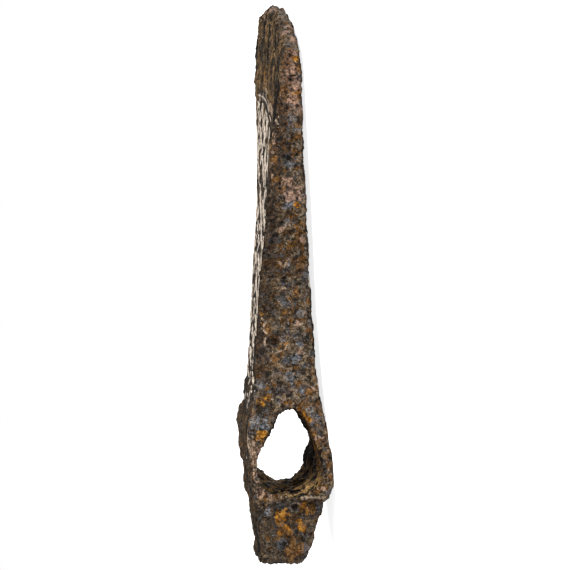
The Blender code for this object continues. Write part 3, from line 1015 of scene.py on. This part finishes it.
streaks, given, result = new_group(
    "streaks",
    {"Place": (VECTOR, None), "Length": (NUMBER, 9.0), "Spacing": (NUMBER, 0.7), **LEVEL},
    {"Mask": NUMBER, "Tone": NUMBER},
)
tree = streaks
axes = add("SeparateXYZ", Vector=given["Place"])
stretched = add(
    "CombineXYZ",
    X=math_node("DIVIDE", axes.outputs["X"], given["Length"]),
    Y=math_node("DIVIDE", axes.outputs["Y"], given["Spacing"]),
    Z=math_node("DIVIDE", axes.outputs["Z"], given["Spacing"]),
)
lines = add("TexNoise", Vector=stretched.outputs["Vector"], Scale=1.0, Detail=3.0, Roughness=0.6,
            Distortion=0.2)
wire(above_level(lines.outputs["Fac"], given), result["Mask"])
wire(lines.outputs["Fac"], result["Tone"])
print("Groups:", ", ".join(group.name for group in bpy.data.node_groups))

# %% [markdown]
# ## Flaked layers, and dirt with painted shade
#
# "layers" cuts noise into steps, like the contour lines of a map. It gives a line at each step's edge, a
# chance number for each step's colour, and the stair as a height. "dirt_and_shade" darkens a colour in the
# hollows, partly as dirt and partly as painted shade. The silver uses mottle and dirt_and_shade too, so
# that it and the iron belong together.

# %% Make the groups for layers and grime
layers, given, result = new_group(
    "layers",
    {"Place": (VECTOR, None), "Size": (NUMBER, 4.0), "Seed": (NUMBER, 0.0), "Count": (NUMBER, 9.0),
     "Width": (NUMBER, 0.16)},
    {"Edge": NUMBER, "Tone": NUMBER, "Stair": NUMBER},
)
tree = layers
terrain = add("TexNoise", {"noise_dimensions": "4D"}, Vector=given["Place"], W=given["Seed"],
              Scale=math_node("DIVIDE", 1.0, given["Size"]), Detail=2.5, Roughness=0.55, Distortion=0.5)
rising = times(terrain.outputs["Fac"], given["Count"])
level = math_node("FLOOR", rising)
above = math_node("FRACT", rising)
chance = add("TexWhiteNoise", {"noise_dimensions": "1D"}, W=math_node("ADD", level, given["Seed"]))
riser = smooth_range(above, 0.0, 0.12)
wire(smooth_range(above, given["Width"], 0.0), result["Edge"])
wire(chance.outputs["Value"], result["Tone"])
wire(math_node("ADD", level, riser), result["Stair"])

dirt_and_shade, given, result = new_group(
    "dirt_and_shade",
    {"Colour": (COLOUR, (0.5, 0.5, 0.5, 1)), "Hollow": (NUMBER, 0.0), "Place": (VECTOR, None),
     "Amount": (NUMBER, 0.8), "Dirt_and_shade_colour": (COLOUR, (0.012, 0.009, 0.007, 1))},
    {"Colour": COLOUR},
)
tree = dirt_and_shade
uneven = add("TexNoise", Vector=given["Place"], Scale=1.3, Detail=3.0)
# The colour is darkened in the hollows: partly dirt, partly painted shade.
share = times(given["Hollow"], given["Amount"])
share = times(share, math_node("MULTIPLY_ADD", uneven.outputs["Fac"], 1.2, 0.5))
wire(mix(share, given["Colour"], given["Dirt_and_shade_colour"]), result["Colour"])
print("Groups:", ", ".join(group.name for group in bpy.data.node_groups))

# %% [markdown]
# ## The iron's material: layers of oxide
#
# The colours come on in the order in which the rust grew. First come the oxides, in two sizes of layers
# that have flaked off one another. Each layer draws one of seven dark colours by its chance number. Some
# spots are russet, and the hammer poll is darker.

# %% Start the iron's material
BLACK_OXIDE = (0.012, 0.011, 0.011, 1)
RUSSET = (0.250, 0.118, 0.030, 1)
# The colours of the layers: from which chance number on, and the colour
OXIDES = [
    (0.00, (0.012, 0.010, 0.008)),
    (0.22, (0.027, 0.018, 0.009)),
    (0.38, (0.029, 0.028, 0.027)),
    (0.52, (0.054, 0.029, 0.011)),
    (0.64, (0.046, 0.038, 0.022)),
    (0.76, (0.066, 0.062, 0.056)),
    (0.88, (0.100, 0.056, 0.022)),
]


def millimetres():
    """The place on the object, in millimetres."""
    return vector_node("MULTIPLY", add("TexCoord").outputs["Object"], (1 / MM, 1 / MM, 1 / MM))


def mottled(size, seed, level, softness, place=None):
    """Ragged spots of this size in millimetres, as a mask and as a tone."""
    return place_group(mottle, Place=place or place_mm, Size=size, Seed=seed, Level=level, Softness=softness)


def spots(size, seed, level, softness):
    """Only the mask of such spots."""
    return mottled(size, seed, level, softness)["Mask"]


def stored(name):
    """A number that was stored at the vertices."""
    return add("Attribute", {"attribute_name": name}).outputs["Fac"]


rust = bpy.data.materials.new("corroded_iron")
rust.use_nodes = True
tree = rust.node_tree
surface = tree.nodes["Principled BSDF"]
place_mm = millimetres()

flakes = place_group(layers, Place=place_mm, Size=4.6, Seed=1.0, Count=9.0, Width=0.20)
scales = place_group(layers, Place=place_mm, Size=1.8, Seed=2.0, Count=3.5, Width=0.21)
oxide = add("ValToRGB")
oxide.color_ramp.interpolation = "CONSTANT"
while len(oxide.color_ramp.elements) < len(OXIDES):
    oxide.color_ramp.elements.new(0.5)
for stop, (share, tone) in zip(oxide.color_ramp.elements, OXIDES):
    stop.position = share
    stop.color = (*tone, 1)
wire(total(times(flakes["Tone"], 0.68), times(scales["Tone"], 0.32)), oxide.inputs["Fac"])
golden = times(spots(3.2, 3.0, 0.59, 0.03), spots(1.3, 15.0, 0.46, 0.05))
colour = mix(times(golden, 0.6), oxide.outputs["Color"], RUSSET)
colour = mix(times(stored("poll"), 0.35), colour, BLACK_OXIDE)
print(f"{len(OXIDES)} oxides, {len(tree.nodes)} nodes so far")

# %% [markdown]
# ## Crust, slate and pale rims
#
# A pinkish crust covers the blade's narrow side, and dense oxide is slate blue, with pale blue specks that
# are painted glints. The edges of layers, the crests of the relief and a net of thin ridges are pale,
# mostly tan and in places ochre or slate; on the crests and along the lower rim of the toe side this pale
# is painted highlight. Under the inlaid cheek runs a dark band.

# %% Add the crust, the slate and the rims
STEEL_GREY = (0.075, 0.078, 0.084, 1)
SLATE = (0.165, 0.174, 0.195, 1)
# The colour of pale specks on the slate, which are painted glints
PAINTED_BLUE_SHINE = (0.400, 0.430, 0.480, 1)
PINK_CRUST = (0.520, 0.315, 0.225, 1)
ORANGE_CRUST = (0.500, 0.215, 0.065, 1)
TAN_RIM = (0.430, 0.315, 0.205, 1)
OCHRE = (0.290, 0.112, 0.012, 1)
BROWN_RUST = (0.085, 0.043, 0.018, 1)


def patch(name, seed):
    """A stored patch with a crisp ragged rim."""
    torn = mottled(1.1, seed, 0.5, 0.3)["Tone"]
    return smooth_range(total(stored(name), times(torn, 1.2)), 1.02, 1.14)


crust = mix(spots(1.7, 6.0, 0.50, 0.06), ORANGE_CRUST, PINK_CRUST)
crumbled = spots(1.6, 16.0, 0.43, 0.04)
colour = mix(times(stored("crust"), crumbled), colour, crust)
slate_mix = mix(spots(0.8, 17.0, 0.50, 0.05), STEEL_GREY, SLATE)
# Pale blue specks on the slate are painted glints.
slate_mix = mix(spots(0.7, 30.0, 0.58, 0.03), slate_mix, PAINTED_BLUE_SHINE)
colour = mix(times(patch("slate", 26.0), 0.8), colour, slate_mix)

bend = add("TexNoise", Vector=place_mm, Scale=0.7, Detail=3.0)
bent = vector_node("MULTIPLY_ADD", bend.outputs["Color"], (1.6, 1.6, 1.6), place_mm)
cells = add("TexVoronoi", {"feature": "DISTANCE_TO_EDGE"}, Vector=bent, Scale=0.75)
net = smooth_range(cells.outputs["Distance"], 0.13, 0.02)
net = times(net, spots(2.6, 14.0, 0.47, 0.08))

# The pale on the crests and on the lower rim is painted highlight; the edges of layers and the net are the
# rust's own pattern.
rims = largest(
    times(stored("crest"), 0.5),
    times(net, 0.65),
    times(flakes["Edge"], 0.8),
    times(scales["Edge"], 0.65),
    times(stored("low_rim_highlight"), 0.6),
)
rims = times(rims, spots(1.2, 7.0, 0.44, 0.05))
rims = times(rims, math_node("SUBTRACT", 1.0, times(stored("poll"), 0.45)))
rim_mix = mix(spots(3.0, 20.0, 0.54, 0.05), TAN_RIM, OCHRE)
rim_mix = mix(spots(4.0, 24.0, 0.55, 0.05), rim_mix, SLATE)
colour = mix(rims, colour, rim_mix)
band_brown = mix(spots(1.0, 19.0, 0.5, 0.08), BLACK_OXIDE, BROWN_RUST)
colour = mix(times(stored("below_inlay"), 0.75), colour, band_brown)
print(f"{len(tree.nodes)} nodes so far")

# %% [markdown]
# ## The grain of the forged bar
#
# On the cheeks and in the eye the fibres of the bar show instead of the layers, light on the blade and
# dark elsewhere. The eye's walls are dark, partly their own rust and partly painted shade. The wall at the
# bottom of the eye is golden brown, brightened as painted light.

# %% Add the grain
GRAIN_LIGHT = (0.230, 0.140, 0.062, 1)
GRAIN_WORN = (0.088, 0.050, 0.021, 1)
GRAIN_DARK = (0.034, 0.021, 0.010, 1)
# The eye's dark walls are partly painted shade, and its golden floor is painted light.
WALL_SHADE_BLACK = (0.016, 0.008, 0.002, 1)
WALL_SHADE_BROWN = (0.090, 0.038, 0.004, 1)
WALL_LIT_GOLD = (0.560, 0.340, 0.130, 1)
RUST_DARK = (0.110, 0.055, 0.018, 1)
WALL_SQUEEZE = (0.14, 0.95, 0.14)  # makes the spots on the eye's wall into fibres

fibres = place_group(streaks, Place=place_mm, Length=12.0, Spacing=1.5, Level=0.50, Softness=0.07)
grain_top = mix(stored("blade_cheek"), GRAIN_WORN, GRAIN_LIGHT)
wood = mix(fibres["Mask"], GRAIN_DARK, grain_top)
wood = mix(times(golden, 0.5), wood, OCHRE)
squeezed = vector_node("MULTIPLY", place_mm, WALL_SQUEEZE)
wall_fibres = mottled(1.1, 28.0, 0.47, 0.07, squeezed)["Mask"]
# The eye's walls are dark, partly their own rust and partly painted shade.
wall = mix(wall_fibres, WALL_SHADE_BLACK, WALL_SHADE_BROWN)
# The floor of the eye is a bright golden brown, which is painted light.
lit_floor_colour = mix(wall_fibres, RUST_DARK, WALL_LIT_GOLD)
wall = mix(stored("eye_floor"), wall, lit_floor_colour)
wood = mix(stored("eye_wall"), wood, wall)
on_cheek = times(stored("cheek"), 0.75)
on_grain = largest(stored("blade_cheek"), on_cheek, stored("eye_wall"))
colour = mix(times(on_grain, 0.9), colour, wood)
print(f"{len(tree.nodes)} nodes so far")

# %% [markdown]
# ## Patches, veins and laths
#
# The patches that were stored at the vertices come on last. The ground between the wires is nearly
# black, the veins are pale, and the laths have fibres of their own.

# %% Add the patches
BRIGHT_OCHRE = (0.540, 0.245, 0.032, 1)
DEEP_RUSSET = (0.085, 0.036, 0.010, 1)
GROUND_BROWN = (0.016, 0.011, 0.007, 1)
VEIN_PALE = (0.500, 0.370, 0.265, 1)
LATH_LIGHT = (0.540, 0.355, 0.240, 1)
LATH_DARK = (0.075, 0.036, 0.018, 1)

pink = times(patch("pink", 25.0), times(crumbled, 0.65))
colour = mix(pink, colour, PINK_CRUST)
russet_mix = mix(spots(0.9, 31.0, 0.48, 0.05), DEEP_RUSSET, RUSSET)
colour = mix(times(patch("russet", 29.0), 0.8), colour, russet_mix)
crumbs = spots(1.1, 4.0, 0.53, 0.05)
ochre_mix = mix(crumbs, OCHRE, BRIGHT_OCHRE)
colour = mix(patch("ochre", 18.0), colour, ochre_mix)
colour = mix(times(stored("ground"), 0.9), colour, GROUND_BROWN)
vein = times(smooth_range(stored("vein"), 0.44, 0.24), spots(1.5, 32.0, 0.43, 0.05))
colour = mix(times(vein, 0.9), colour, VEIN_PALE)
lath_fibres = place_group(streaks, Place=place_mm, Length=9.0, Spacing=0.9, Level=0.50, Softness=0.06)
laths = mix(lath_fibres["Mask"], LATH_DARK, LATH_LIGHT)
colour = mix(times(patch("laths", 27.0), 0.85), colour, laths)
print(f"{len(tree.nodes)} nodes so far")

# %% [markdown]
# ## Dirt and painted shade, painted glints, lacquer and fine bumps
#
# The hollows of the relief are darkened, partly as dirt and partly as painted shade, and the grain's
# furrows as painted shade. Fine noise makes light and dark, and a few bright specks are painted glints.
# The lacquer is a thin coat in small spots. Fine noise also drives the bump, because glints come from
# facets smaller than the mesh.

# %% Finish the iron's material
# The colour of the painted glints
PAINTED_GLINT = (0.85, 0.83, 0.78, 1)

# Painted shade in the grain's furrows, joined with the hollows' darkening (partly dirt, partly painted shade).
grain_furrow_shade = add("MapRange", Value=stored("grain"), From_Min=0.5, From_Max=0.2)
hollow_shade = largest(stored("hollow"), times(grain_furrow_shade.outputs["Result"], on_grain))
colour = place_group(dirt_and_shade, Colour=colour, Hollow=hollow_shade, Place=place_mm, Amount=1.4)["Colour"]
shade = add("MapRange", Value=spots(0.6, 8.0, 0.5, 0.16), To_Min=0.42, To_Max=1.55)
shade = shade.outputs["Result"]
tint = add("CombineColor", Red=shade, Green=shade, Blue=shade)
colour = mix(1.0, colour, tint.outputs["Color"], "MULTIPLY")
# Painted glints: a few bright specks laid into the colour as highlights.
painted_glints = times(spots(0.45, 21.0, 0.62, 0.03), spots(5.0, 22.0, 0.50, 0.08))
colour = mix(times(painted_glints, 0.35), colour, PAINTED_GLINT)
wire(colour, surface.inputs["Base Color"])

gloss = add("MapRange", Value=crumbs, To_Min=0.28, To_Max=0.65)
wire(gloss.outputs["Result"], surface.inputs["Roughness"])
surface.inputs["Specular IOR Level"].default_value = 0.06
surface.inputs["Coat Roughness"].default_value = 0.12
bare = math_node("SUBTRACT", 1.0, times(on_grain, 0.85))
lacquer = times(spots(0.8, 23.0, 0.56, 0.04), times(bare, 0.6))
wire(lacquer, surface.inputs["Coat Weight"])

bumps = total(
    spots(0.9, 9.0, 0.5, 0.25),
    times(spots(0.4, 10.0, 0.5, 0.25), 0.45),
    times(net, 0.5),
    times(flakes["Stair"], 1.2),
    times(scales["Stair"], 0.4),
    times(fibres["Tone"], times(on_grain, 2.5)),
)
bump = add("Bump", Strength=1.0, Distance=0.6 * MM, Height=bumps)
wire(bump.outputs["Normal"], surface.inputs["Normal"])
iron.data.materials.clear()
iron.data.materials.append(rust)
print(f"The iron's material has {len(tree.nodes)} nodes")

# %% [markdown]
# ## The finish of the silver
#
# Silver from the ground isn't bright. Its wires are dull beige-white where they were cleaned, brown
# where rust has crept over them, and black in their pores. A metal with a rough, mottled surface shows
# that.

# %% Mix the silver's material
SILVER_PALE = (0.74, 0.63, 0.52, 1)
SILVER_DULL = (0.34, 0.27, 0.205, 1)
RUST_FILM = (0.085, 0.055, 0.034, 1)

silver = bpy.data.materials.new("silver_inlay")
silver.use_nodes = True
tree = silver.node_tree
surface = tree.nodes["Principled BSDF"]
place_mm = millimetres()
dull = mottled(2.2, 11.0, 0.52, 0.12)
film = mottled(3.6, 12.0, 0.60, 0.07)
pores = mottled(0.6, 13.0, 0.60, 0.06)
colour = mix(dull["Mask"], SILVER_PALE, SILVER_DULL)
colour = mix(times(film["Mask"], 0.85), colour, RUST_FILM)
colour = place_group(dirt_and_shade, Colour=colour, Hollow=pores["Mask"], Place=place_mm, Amount=0.8)["Colour"]
wire(colour, surface.inputs["Base Color"])
gloss = add("MapRange", Value=dull["Tone"], From_Min=0.3, From_Max=0.7, To_Min=0.32, To_Max=0.6)
wire(gloss.outputs["Result"], surface.inputs["Roughness"])
surface.inputs["Metallic"].default_value = 0.35
bump = add("Bump", Strength=0.8, Distance=0.12 * MM, Height=pores["Tone"])
wire(bump.outputs["Normal"], surface.inputs["Normal"])
for piece in (silver_above, silver_below):
    piece.data.materials.append(silver)
print(f"The silver's material has {len(tree.nodes)} nodes")
